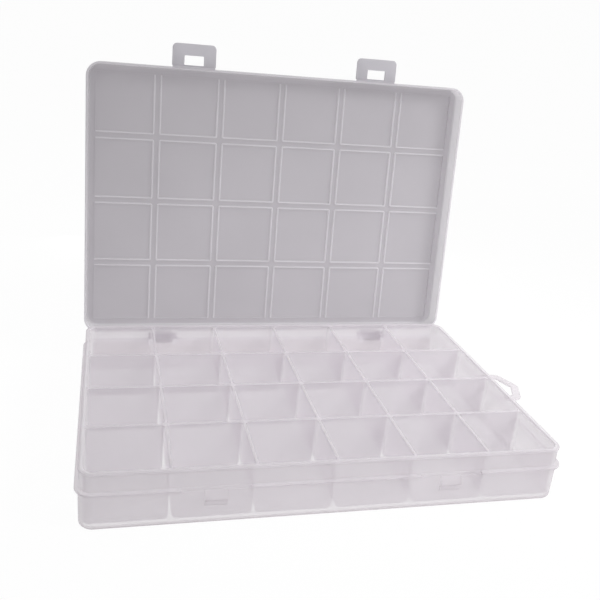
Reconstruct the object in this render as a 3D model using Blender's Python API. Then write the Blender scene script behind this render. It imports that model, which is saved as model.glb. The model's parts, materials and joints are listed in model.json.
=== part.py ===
"""Compartment organizer box: a 24-cell tray with a snap-hinged lid and two latch tabs.

Frame: metres, +X to the right along the long side, +Y to the back, +Z up.  The origin is the
centre of the tray's flat bottom.  The lid stands open on its stop, with the tabs unfolded.
The lid and its tabs are drawn shut, and the pivot empties turn them to where they stand.
"""
import math

import bmesh
import bpy

# Tray: outside of the rim lip, and the heights above the ground
TRAY_WIDTH = 0.1950
TRAY_DEPTH = 0.1344
TRAY_HEIGHT = 0.0241
CORNER_RADIUS = 0.0058
WALL = 0.0015
FLOOR = 0.0014
FOOT_RADIUS = 0.0018
INNER_RADIUS = 0.0007
BODY_DRAFT = 0.0003
RIM_LIP_REACH = 0.0004
RIM_LIP_HEIGHT = 0.0010
RIM_EDGE = 0.0002

# Ledge round the tray, which the lid's skirt comes down to
LEDGE_REACH = 0.0013
LEDGE_THICKNESS = 0.0010
LEDGE_DROP = 0.0079

# Dividers: a grid of thin walls on the floor, tapered upwards
COLUMNS = 6
ROWS = 4
DIVIDER_TOP_THICKNESS = 0.0011
DIVIDER_FOOT_THICKNESS = 0.0015
DIVIDER_DROP = 0.0005

# Clearances: between pieces that touch, round the moving ones, and past what a cutter cuts
CONTACT_GAP = 0.0003
PLAY = 0.0003
OVERRUN = 0.0010

# Lid: a plate with a skirt that comes down outside the rim
LID_PLATE = 0.0012
LID_SKIRT_WALL = 0.0010
LID_EDGE_RADIUS = 0.0009
LID_OPEN_ANGLE = math.radians(94.0)

# Ribs under the lid: each cell has its own line, with a channel over the divider between
RIB_THICKNESS = 0.0008
RIB_HEIGHT = 0.0010
RIB_CHANNEL = 0.0024
RIB_MARGIN = 0.0046
RIB_SINK = 0.0004

# Hinge: ears with a fixed pin on the tray, an open clip on the lid
HINGE_PLACE = 0.0585
HINGE_WIDTH = 0.0150
HINGE_REACH = 0.0040
HINGE_DROP = 0.0081
PIN_RADIUS = 0.0009
EAR_WIDTH = 0.0025
EAR_RADIUS = 0.0019
EAR_TOP = 0.0003
EAR_FOOT = 0.0030
CLIP_RADIUS = 0.0020
CLIP_MOUTH = 0.0015
CLIP_ARM_HEIGHT = 0.0052
CLIP_ARM_TIP = 0.0008
CLIP_HEEL = 0.0019
# Turns round the pin, in degrees from straight back: the ears' round end, and the clip's ring
EAR_ROUND_TURNS = (-50, 130)
CLIP_FRONT_TURN = 165
CLIP_BACK_TURNS = (-5, 70)

# Latches: a tab with a window on a film strip of the lid, a catch below the ledge on the tray
LATCH_PLACE = 0.0474
TAB_WIDTH = 0.0214
TAB_REACH = 0.0115
TAB_THICKNESS = 0.0013
TAB_CORNER = 0.0022
TAB_BORDER = 0.0021
TAB_RECESS = 0.0004
WINDOW_WIDTH = 0.0096
WINDOW_START = 0.0013
WINDOW_END = 0.0059
FILM_THICKNESS = 0.0004
FILM_END = 0.0008
FILM_DROP = 0.00015
LEDGE_NOTCH_WIDTH = 0.0262
CATCH_WIDTH = 0.0086
CATCH_REACH = 0.0018
CATCH_HOOK_DROP = 0.0132
CATCH_LIP = 0.0007
CATCH_PAD_REACH = 0.00045
CATCH_PAD_DROP = 0.0156

# Hanging loop: a flat band bent out from the right-hand ledge
LOOP_THICKNESS = 0.0012
LOOP_BAND = 0.0038
LOOP_MIDDLE = 0.0043
LOOP_HALF_WIDTH = 0.0111
LOOP_SHOULDER_REACH = 0.0109
LOOP_TIP_REACH = 0.0152
LOOP_CORNER = 0.0022

# Faces round a curve, and the angle from which an edge between faces is drawn sharp
CORNER_STEPS = 8
SMALL_ARC_STEPS = 4
TURN_STEPS = 32
SHARP_ANGLE = math.radians(30)

# Places that follow from the sizes above
RIM_Z = TRAY_HEIGHT
LEDGE_TOP_Z = RIM_Z - LEDGE_DROP
LEDGE_BOTTOM_Z = LEDGE_TOP_Z - LEDGE_THICKNESS
FRONT_Y = -TRAY_DEPTH / 2
BACK_Y = TRAY_DEPTH / 2
INNER_INSET = RIM_LIP_REACH + WALL
COLUMN_PITCH = (TRAY_WIDTH - INNER_INSET * 2 + DIVIDER_TOP_THICKNESS) / COLUMNS
ROW_PITCH = (TRAY_DEPTH - INNER_INSET * 2 + DIVIDER_TOP_THICKNESS) / ROWS
DIVIDER_TOP_Z = RIM_Z - DIVIDER_DROP
DIVIDER_FOOT_Z = FLOOR + CONTACT_GAP
LID_UNDERSIDE_Z = RIM_Z + CONTACT_GAP + RIB_HEIGHT
LID_TOP_Z = LID_UNDERSIDE_Z + LID_PLATE
SKIRT_RIM_Z = LEDGE_TOP_Z + CONTACT_GAP
HINGE_Y = BACK_Y + HINGE_REACH
HINGE_Z = RIM_Z - HINGE_DROP
CLIP_BORE = PIN_RADIUS + PLAY
CLIP_WIDTH = HINGE_WIDTH - (EAR_WIDTH + PLAY) * 2
HINGE_NOTCH_WIDTH = HINGE_WIDTH + PLAY * 2
SKIRT_FRONT_Y = FRONT_Y - LEDGE_REACH
FOLD_Y = SKIRT_FRONT_Y - CONTACT_GAP / 2
FOLD_Z = SKIRT_RIM_Z - FILM_DROP
SIDES = (("left", -1), ("right", 1))


def linear(channel):
    """An sRGB channel from 0 to 1 as the linear value that a shader takes."""
    if channel <= 0.04045:
        return channel / 12.92
    return ((channel + 0.055) / 1.055) ** 2.4


def plastic(name, colour, roughness):
    """One moulded polypropylene, from its sRGB hex colour."""
    material = bpy.data.materials.new(name)
    material.use_nodes = True
    shader = material.node_tree.nodes["Principled BSDF"]
    channels = [linear(int(colour[i:i + 2], 16) / 255) for i in (0, 2, 4)]
    shader.inputs["Base Color"].default_value = (*channels, 1)
    shader.inputs["Roughness"].default_value = roughness
    shader.inputs["Metallic"].default_value = 0
    return material


def clear_scene():
    for item in list(bpy.data.objects):
        bpy.data.objects.remove(item, do_unlink=True)


def add_object(name, mesh_data, material, origin=(0, 0, 0), parent=None):
    """Turn a bmesh into a named object with its origin at the given place."""
    bmesh.ops.recalc_face_normals(mesh_data, faces=mesh_data.faces)
    mesh = bpy.data.meshes.new(name)
    mesh_data.to_mesh(mesh)
    mesh_data.free()
    item = bpy.data.objects.new(name, mesh)
    item.location = origin
    item.parent = parent
    if material:
        mesh.materials.append(material)
        mesh.shade_smooth()
        mesh.set_sharp_from_angle(angle=SHARP_ANGLE)
    bpy.context.collection.objects.link(item)
    return item


def add_pivot(name, place, angle, parent=None):
    """An empty on a joint's axis, turned about X."""
    pivot = bpy.data.objects.new(name, None)
    pivot.location = place
    pivot.rotation_euler = (angle, 0, 0)
    pivot.parent = parent
    bpy.context.collection.objects.link(pivot)
    return pivot


def add_box(mesh_data, low, high):
    """A box between two opposite corners."""
    across, along, up = zip(low, high)
    corners = [(x, y, z) for x in across for y in along for z in up]
    points = [mesh_data.verts.new(corner) for corner in corners]
    for face in ((0, 1, 3, 2), (4, 6, 7, 5), (0, 4, 5, 1), (2, 3, 7, 6), (0, 2, 6, 4), (1, 5, 7, 3)):
        mesh_data.faces.new([points[i] for i in face])


def add_boolean(item, operation, label, tool_data, parent=None):
    """Join or cut an item with a guide object that the model itself leaves out."""
    tool = add_object(f"{item.name}_{label}_guide", tool_data, None, parent=parent)
    tool.hide_render = True
    tool.display_type = "WIRE"
    modifier = item.modifiers.new(label, "BOOLEAN")
    modifier.operation = operation
    modifier.solver = "EXACT"
    modifier.object = tool


def arc(centre, radius, start, end, steps):
    """Points along an arc in a plane, from one angle in degrees to another."""
    angles = [math.radians(start + (end - start) * i / steps) for i in range(steps + 1)]
    return [(centre[0] + radius * math.cos(a), centre[1] + radius * math.sin(a)) for a in angles]


def rounded_rectangle(half_width, half_depth, radius, steps=CORNER_STEPS):
    """Anticlockwise points of a rectangle about the origin with round corners."""
    points = []
    for quarter, (sign_x, sign_y) in enumerate(((1, 1), (-1, 1), (-1, -1), (1, -1))):
        centre = (sign_x * (half_width - radius), sign_y * (half_depth - radius))
        points += arc(centre, radius, quarter * 90, quarter * 90 + 90, steps)
    return points


def loft(mesh_data, rings):
    """One closed body through rings of equally many points, capped at both ends."""
    loops = [[mesh_data.verts.new(point) for point in ring] for ring in rings]
    for lower, upper in zip(loops, loops[1:]):
        for i in range(len(lower)):
            j = (i + 1) % len(lower)
            mesh_data.faces.new((lower[i], lower[j], upper[j], upper[i]))
    mesh_data.faces.new(reversed(loops[0]))
    mesh_data.faces.new(loops[-1])


def wall_ring(inset, height):
    """The tray's plan outline, drawn in from the rim lip by an inset, at a height."""
    outline = rounded_rectangle(TRAY_WIDTH / 2 - inset, TRAY_DEPTH / 2 - inset, CORNER_RADIUS - inset)
    return [(x, y, height) for x, y in outline]


def extrude_outline(mesh_data, outline, start, end, place=(0, 0)):
    """A prism along X, from an outline of (y, z) points moved to a place."""
    rings = [[(x, y + place[0], z + place[1]) for y, z in outline] for x in (start, end)]
    loft(mesh_data, rings)


def add_band(mesh_data, path, width, low, high, closed=False):
    """A strip of constant width along a path of (x, y) points, from one height to another."""
    count = len(path)
    rails = []
    for i, (x, y) in enumerate(path):
        before = path[i - 1] if closed or i > 0 else None
        after = path[(i + 1) % count] if closed or i < count - 1 else None
        directions = []
        for start, end in ((before, (x, y)), ((x, y), after)):
            if start is not None and end is not None:
                length = math.dist(start, end)
                directions.append(((end[0] - start[0]) / length, (end[1] - start[1]) / length))
        along = [sum(d[k] for d in directions) / len(directions) for k in (0, 1)]
        stretch = width / 2 / (along[0] ** 2 + along[1] ** 2)
        side = (-along[1] * stretch, along[0] * stretch)
        left = (x + side[0], y + side[1])
        right = (x - side[0], y - side[1])
        rails.append([(*left, low), (*right, low), (*right, high), (*left, high)])
    sections = [[mesh_data.verts.new(point) for point in rail] for rail in rails]
    pairs = list(zip(sections, sections[1:]))
    if closed:
        pairs.append((sections[-1], sections[0]))
    for first, second in pairs:
        for k in range(4):
            m = (k + 1) % 4
            mesh_data.faces.new((first[k], first[m], second[m], second[k]))
    if not closed:
        mesh_data.faces.new(reversed(sections[0]))
        mesh_data.faces.new(sections[-1])


def round_corners(points, radius, steps=SMALL_ARC_STEPS):
    """Replace the inner points of an open path by arcs that touch both its sides."""
    rounded = [points[0]]
    for before, corner, after in zip(points, points[1:], points[2:]):
        into = [(corner[k] - before[k]) / math.dist(before, corner) for k in (0, 1)]
        out = [(after[k] - corner[k]) / math.dist(corner, after) for k in (0, 1)]
        turn = math.acos(sum(into[k] * out[k] for k in (0, 1)))
        reach = radius * math.tan(turn / 2)
        for i in range(steps + 1):
            angle = turn * i / steps
            back = reach - radius * math.sin(angle)
            rise = radius * (1 - math.cos(angle))
            side = 1 if into[0] * out[1] - into[1] * out[0] > 0 else -1
            normal = (-into[1] * side, into[0] * side)
            rounded.append(tuple(corner[k] - into[k] * back + normal[k] * rise for k in (0, 1)))
    return rounded + [points[-1]]


def column_x(index):
    """The middle of the divider line that follows the given number of columns."""
    return (index - COLUMNS / 2) * COLUMN_PITCH


def row_y(index):
    """The middle of the divider line that follows the given number of rows."""
    return (index - ROWS / 2) * ROW_PITCH


def make_tray_shell(material):
    """Floor, walls, ledge and rim lip, with the ledge cut away at the latches and hinges."""
    foot = arc((BODY_DRAFT + FOOT_RADIUS, FOOT_RADIUS), FOOT_RADIUS, 270, 180, SMALL_ARC_STEPS)
    inner_foot = arc((INNER_INSET + INNER_RADIUS, FLOOR + INNER_RADIUS), INNER_RADIUS, 180, 270, SMALL_ARC_STEPS)
    profile = foot + [
        (0, LEDGE_BOTTOM_Z),
        (-LEDGE_REACH, LEDGE_BOTTOM_Z),
        (-LEDGE_REACH, LEDGE_TOP_Z),
        (RIM_LIP_REACH, LEDGE_TOP_Z),
        (RIM_LIP_REACH, RIM_Z - RIM_LIP_HEIGHT),
        (0, RIM_Z - RIM_LIP_HEIGHT),
        (0, RIM_Z - RIM_EDGE),
        (RIM_EDGE, RIM_Z),
        (INNER_INSET - RIM_EDGE, RIM_Z),
        (INNER_INSET, RIM_Z - RIM_EDGE),
    ] + inner_foot
    body = bmesh.new()
    loft(body, [wall_ring(inset, height) for inset, height in profile])
    tray = add_object("tray_shell", body, material)

    notches = bmesh.new()
    stub = RIM_LIP_REACH / 2
    low_z = LEDGE_BOTTOM_Z - OVERRUN / 2
    high_z = LEDGE_TOP_Z + OVERRUN / 2
    for _, sign in SIDES:
        middle = sign * LATCH_PLACE
        half = LEDGE_NOTCH_WIDTH / 2
        add_box(notches, (middle - half, SKIRT_FRONT_Y - OVERRUN, low_z), (middle + half, FRONT_Y + stub, high_z))
        middle = sign * HINGE_PLACE
        half = HINGE_NOTCH_WIDTH / 2
        outside = BACK_Y + LEDGE_REACH + OVERRUN
        add_box(notches, (middle - half, BACK_Y - stub, low_z), (middle + half, outside, high_z))
    add_boolean(tray, "DIFFERENCE", "ledge_notches", notches)


def make_divider(name, length_axis, start, end, middle, material):
    """A thin wall along X or Y, thicker at its foot, standing on the floor."""
    rings = []
    for thickness, height in ((DIVIDER_FOOT_THICKNESS, DIVIDER_FOOT_Z), (DIVIDER_TOP_THICKNESS, DIVIDER_TOP_Z)):
        half = thickness / 2
        ring = [(start, middle - half), (end, middle - half), (end, middle + half), (start, middle + half)]
        if length_axis == "Y":
            ring = [(y, x) for x, y in reversed(ring)]
        rings.append([(x, y, height) for x, y in ring])
    body = bmesh.new()
    loft(body, rings)
    add_object(name, body, material)


def make_dividers(material):
    """Three full rows from wall to wall, and the short cross walls between them."""
    end_x = TRAY_WIDTH / 2 - INNER_INSET - CONTACT_GAP
    for row in range(1, ROWS):
        make_divider(f"row_divider_{row}", "X", -end_x, end_x, row_y(row), material)
    beside_row = DIVIDER_FOOT_THICKNESS / 2 + CONTACT_GAP
    end_y = TRAY_DEPTH / 2 - INNER_INSET - CONTACT_GAP
    for row in range(ROWS):
        front = -end_y if row == 0 else row_y(row) + beside_row
        back = end_y if row == ROWS - 1 else row_y(row + 1) - beside_row
        for column in range(1, COLUMNS):
            name = f"cross_divider_row{row + 1}_{column}"
            make_divider(name, "Y", front, back, column_x(column), material)


def make_catches(material):
    """Wedges on the front wall, with a hook edge underneath and a low pad for the tab."""
    inner_y = FRONT_Y - CONTACT_GAP
    outer_y = FRONT_Y - CATCH_REACH
    hook_z = RIM_Z - CATCH_HOOK_DROP
    outline = [
        (inner_y, RIM_Z - CATCH_PAD_DROP),
        (inner_y, LEDGE_BOTTOM_Z - CONTACT_GAP),
        (outer_y, hook_z + CATCH_LIP),
        (outer_y, hook_z),
        (FRONT_Y - CATCH_PAD_REACH, hook_z),
        (FRONT_Y - CATCH_PAD_REACH, RIM_Z - CATCH_PAD_DROP),
    ]
    for side, sign in SIDES:
        middle = sign * LATCH_PLACE
        body = bmesh.new()
        extrude_outline(body, outline, middle - CATCH_WIDTH / 2, middle + CATCH_WIDTH / 2)
        add_object(f"latch_catch_{side}", body, material)


def make_hanging_loop(material):
    """A flat band out of the right-hand ledge and back, bent at two shoulders and a tip."""
    ledge_x = TRAY_WIDTH / 2 + LEDGE_REACH
    front_y = LOOP_MIDDLE - LOOP_HALF_WIDTH
    back_y = LOOP_MIDDLE + LOOP_HALF_WIDTH
    path = [
        (ledge_x + CONTACT_GAP, front_y),
        (ledge_x + LOOP_SHOULDER_REACH, front_y),
        (ledge_x + LOOP_TIP_REACH, LOOP_MIDDLE),
        (ledge_x + LOOP_SHOULDER_REACH, back_y),
        (ledge_x + CONTACT_GAP, back_y),
    ]
    body = bmesh.new()
    low_z = LEDGE_TOP_Z - LOOP_THICKNESS
    add_band(body, round_corners(path, LOOP_CORNER), LOOP_BAND, low_z, LEDGE_TOP_Z)
    add_object("hanging_loop", body, material)


def make_hinge_lugs(material):
    """Two ears on the back wall with a pin between them, for each hinge."""
    wall_y = -HINGE_REACH + CONTACT_GAP
    round_end = arc((0, 0), EAR_RADIUS, *EAR_ROUND_TURNS, TURN_STEPS // 2)
    outline = [(wall_y, EAR_TOP), (wall_y, -EAR_FOOT)] + round_end
    place = (HINGE_Y, HINGE_Z)
    for side, sign in SIDES:
        start = sign * HINGE_PLACE - HINGE_WIDTH / 2
        end = start + HINGE_WIDTH
        body = bmesh.new()
        extrude_outline(body, outline, start, start + EAR_WIDTH, place)
        extrude_outline(body, outline, end - EAR_WIDTH, end, place)
        lugs = add_object(f"hinge_lugs_{side}", body, material)
        pin = bmesh.new()
        circle = arc((0, 0), PIN_RADIUS, 0, 360, TURN_STEPS)[:-1]
        extrude_outline(pin, circle, start + EAR_WIDTH / 2, end - EAR_WIDTH / 2, place)
        add_boolean(lugs, "UNION", "pin", pin)


def cell_line(column, row):
    """The path of one cell's rib: only the sides that face a neighbouring cell."""
    offset = (RIB_CHANNEL + RIB_THICKNESS) / 2
    end_x = TRAY_WIDTH / 2 + LEDGE_REACH - RIB_MARGIN
    end_y = TRAY_DEPTH / 2 + LEDGE_REACH - RIB_MARGIN
    left = column_x(column) + offset if column > 0 else -end_x
    right = column_x(column + 1) - offset if column < COLUMNS - 1 else end_x
    front = row_y(row) + offset if row > 0 else -end_y
    back = row_y(row + 1) - offset if row < ROWS - 1 else end_y
    corners = [(left, front), (right, front), (right, back), (left, back)]
    present = [row > 0, column < COLUMNS - 1, row < ROWS - 1, column > 0]
    if all(present):
        return corners, True
    first = next(i for i in range(4) if present[i] and not present[i - 1])
    count = sum(present)
    return [corners[(first + i) % 4] for i in range(count + 1)], False


def make_lid_shell(material, pivot):
    """Plate and skirt in one shell, with the cell ribs below and a notch at each hinge."""
    inner_inset = LID_SKIRT_WALL - LEDGE_REACH
    edge_middle = (LID_EDGE_RADIUS - LEDGE_REACH, LID_TOP_Z - LID_EDGE_RADIUS)
    top_edge = arc(edge_middle, LID_EDGE_RADIUS, 90, 180, SMALL_ARC_STEPS)
    profile = top_edge + [
        (-LEDGE_REACH, SKIRT_RIM_Z),
        (inner_inset, SKIRT_RIM_Z),
        (inner_inset, LID_UNDERSIDE_Z),
    ]
    body = bmesh.new()
    loft(body, [wall_ring(inset, height) for inset, height in profile])
    ribs = bmesh.new()
    for row in range(ROWS):
        for column in range(COLUMNS):
            path, closed = cell_line(column, row)
            low_z = LID_UNDERSIDE_Z - RIB_HEIGHT
            add_band(ribs, path, RIB_THICKNESS, low_z, LID_UNDERSIDE_Z + RIB_SINK, closed)
    notches = bmesh.new()
    swept = EAR_RADIUS + PLAY
    for _, sign in SIDES:
        middle = sign * HINGE_PLACE
        half = HINGE_NOTCH_WIDTH / 2
        low = (middle - half, BACK_Y, SKIRT_RIM_Z - OVERRUN)
        high = (middle + half, BACK_Y + LEDGE_REACH + OVERRUN, HINGE_Z + swept)
        add_box(notches, low, high)
    for shape in (body, ribs, notches):
        bmesh.ops.translate(shape, verts=shape.verts, vec=(0, -HINGE_Y, -HINGE_Z))
    lid = add_object("lid_shell", body, material, parent=pivot)
    add_boolean(lid, "UNION", "ribs", ribs, pivot)
    add_boolean(lid, "DIFFERENCE", "hinge_notches", notches, pivot)


def clip_outline():
    """Section of a hinge clip about the pin: ring, mouth, stop heel and the arm on the skirt."""
    mouth_angle = 180 + math.degrees(LID_OPEN_ANGLE)
    half_mouth = math.degrees(math.asin(CLIP_MOUTH / 2 / CLIP_BORE))
    arm_y = CONTACT_GAP + LEDGE_REACH - HINGE_REACH
    facing = (math.cos(math.radians(mouth_angle)), math.sin(math.radians(mouth_angle)))
    stop = HINGE_REACH - CONTACT_GAP

    def heel_point(along):
        return (facing[0] * stop - facing[1] * along, facing[1] * stop + facing[0] * along)

    first = mouth_angle - half_mouth
    last = mouth_angle + half_mouth - 360
    outer_front = arc((0, 0), CLIP_RADIUS, CLIP_FRONT_TURN, first, TURN_STEPS // 2)
    bore = arc((0, 0), CLIP_BORE, first, last, TURN_STEPS // 2)
    heel = [heel_point(CLIP_MOUTH / 2), heel_point(CLIP_HEEL)]
    outer_back = arc((0, 0), CLIP_RADIUS, *CLIP_BACK_TURNS, SMALL_ARC_STEPS)
    arm = [
        (arm_y + CLIP_ARM_TIP, CLIP_ARM_HEIGHT),
        (arm_y, CLIP_ARM_HEIGHT),
        (arm_y, EAR_RADIUS + PLAY),
    ]
    return outer_front + bore + heel + outer_back + arm


def make_hinge_clips(material, pivot):
    """Open clips that snap over the tray's pins and carry the lid."""
    outline = clip_outline()
    for side, sign in SIDES:
        middle = sign * HINGE_PLACE
        body = bmesh.new()
        extrude_outline(body, outline, middle - CLIP_WIDTH / 2, middle + CLIP_WIDTH / 2)
        add_object(f"hinge_clip_{side}", body, material, parent=pivot)


def tab_outline(inset):
    """Plan of a tab in (x, distance out from the skirt), with its two outer corners round."""
    half = TAB_WIDTH / 2 - inset
    radius = TAB_CORNER - inset / 2
    end = TAB_REACH - inset
    right_corner = arc((half - radius, end - radius), radius, 0, 90, CORNER_STEPS)
    left_corner = [(-x, y) for x, y in reversed(right_corner)]
    return right_corner, left_corner


def make_latch_tab(side, sign, material, lid_pivot):
    """A tab on its film strip: raised border, lower field round the window."""
    place = (sign * LATCH_PLACE, FOLD_Y - HINGE_Y, FOLD_Z - HINGE_Z)
    pivot = add_pivot(f"latch_pivot_{side}", place, 0, lid_pivot)
    low_z = FILM_DROP
    high_z = FILM_DROP + TAB_THICKNESS
    film_z = FILM_DROP + FILM_THICKNESS

    def prism(outline, low, high):
        shape = bmesh.new()
        loft(shape, [[(x, CONTACT_GAP / 2 - y, z) for x, y in outline] for z in (low, high)])
        return shape

    right_corner, left_corner = tab_outline(0)
    half = TAB_WIDTH / 2
    plan = [(half, FILM_END)] + right_corner + left_corner + [(-half, FILM_END)]
    tab = add_object(f"latch_tab_{side}", prism(plan, low_z, high_z), material, parent=pivot)
    film = [(half, CONTACT_GAP), (half, WINDOW_START), (-half, WINDOW_START), (-half, CONTACT_GAP)]
    add_boolean(tab, "UNION", "film", prism(film, low_z, film_z), pivot)

    field_right, field_left = tab_outline(TAB_BORDER)
    field_half = half - TAB_BORDER
    window_half = WINDOW_WIDTH / 2
    window = [(window_half, WINDOW_START), (window_half, WINDOW_END), (-window_half, WINDOW_END),
              (-window_half, WINDOW_START)]
    field = [(field_half, WINDOW_START)] + field_right + field_left + [(-field_half, WINDOW_START)]
    add_boolean(tab, "DIFFERENCE", "field", prism(field, high_z - TAB_RECESS, high_z + OVERRUN), pivot)
    hole = prism(window, low_z - OVERRUN, high_z - TAB_RECESS / 2)
    add_boolean(tab, "DIFFERENCE", "window", hole, pivot)


def main():
    clear_scene()
    tray_plastic = plastic("tray_frosted_polypropylene", "D4CFD3", 0.42)
    divider_plastic = plastic("divider_frosted_polypropylene", "D8D4D8", 0.42)
    hinge_plastic = plastic("hinge_frosted_polypropylene", "CFCACF", 0.42)
    lid_plastic = plastic("lid_frosted_polypropylene", "BDBBC0", 0.45)
    latch_plastic = plastic("latch_frosted_polypropylene", "C4C1C6", 0.45)
    make_tray_shell(tray_plastic)
    make_dividers(divider_plastic)
    make_catches(tray_plastic)
    make_hanging_loop(tray_plastic)
    make_hinge_lugs(hinge_plastic)
    lid_pivot = add_pivot("lid_pivot", (0, HINGE_Y, HINGE_Z), -LID_OPEN_ANGLE)
    make_lid_shell(lid_plastic, lid_pivot)
    make_hinge_clips(hinge_plastic, lid_pivot)
    for side, sign in SIDES:
        make_latch_tab(side, sign, latch_plastic, lid_pivot)


main()
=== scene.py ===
"""Looks of the compartment organizer box: frosted polypropylene tray, lid, latch tabs and film hinges."""
import json
import math

import bmesh
import bpy
from mathutils import Euler, Matrix, Vector


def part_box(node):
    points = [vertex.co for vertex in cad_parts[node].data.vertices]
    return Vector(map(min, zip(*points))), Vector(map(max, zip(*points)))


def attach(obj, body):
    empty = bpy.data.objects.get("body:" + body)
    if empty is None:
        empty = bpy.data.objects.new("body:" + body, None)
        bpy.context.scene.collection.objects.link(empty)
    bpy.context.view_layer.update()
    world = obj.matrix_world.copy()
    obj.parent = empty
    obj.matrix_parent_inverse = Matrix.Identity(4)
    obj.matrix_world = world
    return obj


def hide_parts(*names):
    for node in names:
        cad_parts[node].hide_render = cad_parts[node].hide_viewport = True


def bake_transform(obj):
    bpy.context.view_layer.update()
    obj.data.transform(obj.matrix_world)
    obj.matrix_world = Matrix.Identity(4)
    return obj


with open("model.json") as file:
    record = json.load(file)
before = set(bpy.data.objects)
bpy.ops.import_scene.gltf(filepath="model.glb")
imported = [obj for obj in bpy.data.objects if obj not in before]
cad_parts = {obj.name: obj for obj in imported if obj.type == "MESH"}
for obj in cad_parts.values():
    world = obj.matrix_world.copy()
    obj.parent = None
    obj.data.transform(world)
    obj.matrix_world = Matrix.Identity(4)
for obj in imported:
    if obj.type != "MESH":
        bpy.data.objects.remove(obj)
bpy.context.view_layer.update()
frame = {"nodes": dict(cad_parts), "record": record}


# Sizes of the tray, in metres, from the CAD nodes and from its mould
COLUMNS = 6
ROWS = 4
LEDGE_REACH = 0.0013
LEDGE_THICKNESS = 0.0010
LEDGE_DROP = 0.0079
LEDGE_EDGE = 0.00025
CORNER_RADIUS = 0.0058
WALL = 0.0015
FLOOR = 0.0014
FOOT_RADIUS = 0.0018
FOOT_BAND = 0.0022
SHADED_STRIP = 0.0085
BODY_DRAFT = 0.0003
RIM_LIP_REACH = 0.0004
RIM_LIP_HEIGHT = 0.0010
RIM_EDGE = 0.0003
INNER_INSET = RIM_LIP_REACH + WALL
DIVIDER_TOP_THICKNESS = 0.0011
DIVIDER_FOOT_THICKNESS = 0.0015
DIVIDER_EDGE = 0.0003
CELL_CORNER = 0.0014
CELL_FLOOR_RADIUS = 0.0012
WALL_FLUSH = 0.00005
OVERRUN = 0.0010
SEAT = 0.0004

tray_low, tray_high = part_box("tray_shell")
divider_low, divider_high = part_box("row_divider_1")
LEDGE_HALF_X = tray_high[0]
LEDGE_HALF_Y = tray_high[1]
TRAY_HALF_X = LEDGE_HALF_X - LEDGE_REACH
TRAY_HALF_Y = LEDGE_HALF_Y - LEDGE_REACH
RIM_Z = tray_high[2]
DIVIDER_TOP_Z = divider_high[2]
LEDGE_TOP_Z = RIM_Z - LEDGE_DROP
LEDGE_BOTTOM_Z = LEDGE_TOP_Z - LEDGE_THICKNESS
PITCH_X = ((TRAY_HALF_X - INNER_INSET) * 2 + DIVIDER_TOP_THICKNESS) / COLUMNS
PITCH_Y = ((TRAY_HALF_Y - INNER_INSET) * 2 + DIVIDER_TOP_THICKNESS) / ROWS

# Sizes of the lid, drawn shut and then turned to where it stands open
LID_PLATE = 0.0012
LID_GAP = 0.0003
LID_SKIRT_WALL = 0.0010
LID_EDGE_RADIUS = 0.0009
LID_SKIRT_EDGE = 0.00025
RIB_THICKNESS = 0.0008
RIB_HEIGHT = 0.0010
RIB_EDGE = 0.00025
RIB_CHANNEL = 0.0024
RIB_MARGIN = 0.0046
RIB_CORNER = 0.0005
LID_UNDERSIDE_Z = RIM_Z + LID_GAP + RIB_HEIGHT
LID_TOP_Z = LID_UNDERSIDE_Z + LID_PLATE
SKIRT_RIM_Z = LEDGE_TOP_Z + LID_GAP

# Hinge
lid_joint = next(joint for joint in frame["record"]["behaviour"]["joints"] if joint["name"] == "lid_hinge")
HINGE = Vector(lid_joint["pos_m"])
OPEN_ANGLE = math.radians(lid_joint["range_deg"][1])
HINGE_REACH = HINGE.y - TRAY_HALF_Y
PIN_RADIUS = 0.0009
EAR_WIDTH = 0.0025
EAR_RADIUS = 0.0019
EAR_TOP = 0.0003
EAR_FOOT = 0.0030
CLIP_PLAY = 0.0003
CLIP_RADIUS = 0.0020
CLIP_MOUTH = 0.0015
CLIP_ARM_HEIGHT = 0.0052
CLIP_ARM_TIP = 0.0008
CLIP_HEEL = 0.0019
# Turns round the pin, in degrees from straight back: the ears' round end, and the clip's ring
EAR_ROUND_TURNS = (-50, 130)
CLIP_FRONT_TURN = 165
CLIP_BACK_TURNS = (-5, 70)

# Latches
TAB_THICKNESS = 0.0013
TAB_CORNER = 0.0022
TAB_BORDER = 0.0021
TAB_RECESS = 0.0004
TAB_EDGE = 0.00012
TAB_ROOT_CORNER = 0.0004
TAB_ROOT_BORDER = 0.0002
WINDOW_WIDTH = 0.0096
WINDOW_START = 0.0013
WINDOW_END = 0.0059
WINDOW_CORNER = 0.0003
FILM_THICKNESS = 0.0004
FILM_END = 0.0008
TAB_REACH = 0.0115
LEDGE_NOTCH_WIDTH = 0.0262
CATCH_REACH = 0.0018
CATCH_HOOK_DROP = 0.0132
CATCH_LIP = 0.0007
CATCH_PAD_REACH = 0.00045
CATCH_PAD_DROP = 0.0156
CATCH_EDGE = 0.00018

# Hanging loop
LOOP_THICKNESS = 0.0012
LOOP_BAND = 0.0038
LOOP_EDGE = 0.0003
LOOP_MIDDLE = 0.0043
LOOP_HALF_WIDTH = 0.0111
LOOP_SHOULDER_REACH = 0.0109
LOOP_TIP_REACH = 0.0152
LOOP_CORNER = 0.0022

# How milk-white and how close and grey stretches of the plastic look, from 0 to 1; some of these values are painted
# light, painted highlights and painted shade
# Painted light: the back ledge, hinge lugs and pins are made fully white to lift them out of the shade of the lid and
# the back wall
BACK_LEDGE_PAINTED_LIGHT = 1.0
# Partly painted highlights: rim, ledge, divider tops, lid ribs and skirt rim are made whiter along their edges,
# besides the real whitening of thick plastic seen edgewise
RIM_MILK_AND_HIGHLIGHT = 0.6
LEDGE_MILK_AND_HIGHLIGHT = 0.2
DIVIDER_TOP_MILK_AND_HIGHLIGHT = 0.45
RIB_MILK_AND_HIGHLIGHT = 0.45
SKIRT_RIM_MILK_AND_HIGHLIGHT = 0.8
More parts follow.
